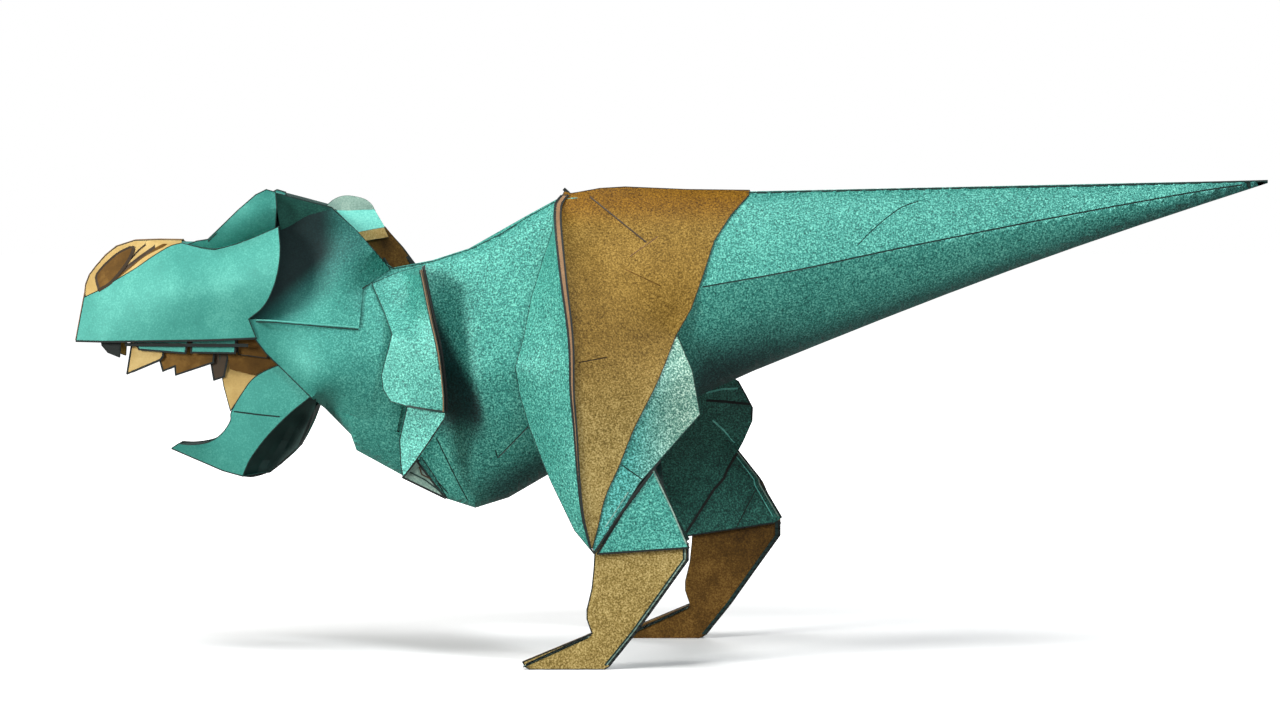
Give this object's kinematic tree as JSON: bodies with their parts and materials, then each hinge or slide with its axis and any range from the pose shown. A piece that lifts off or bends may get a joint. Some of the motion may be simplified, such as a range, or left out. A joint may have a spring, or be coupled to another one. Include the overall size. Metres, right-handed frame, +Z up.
{
  "type": "origami_tyrannosaurus",
  "caption": "Origami tyrannosaurus folded from teal and golden brown paper, striding on flat feet with an open jaw and a long straight tail",
  "frame": {"origin": "on the floor under the middle of the length, on the mid-plane of the body", "axes": "+X toward the tail, -X the way the head looks, -Y the near side in the picture, +Z up"},
  "size_m": [0.32, 0.0724, 0.1275],
  "materials": {
    "folded_paper": "satin, finely embossed, teal face with golden brown reverse"
  },
  "bodies": {
    "root": {"folded_sheet": "folded_paper"}
  },
  "joints": []
}
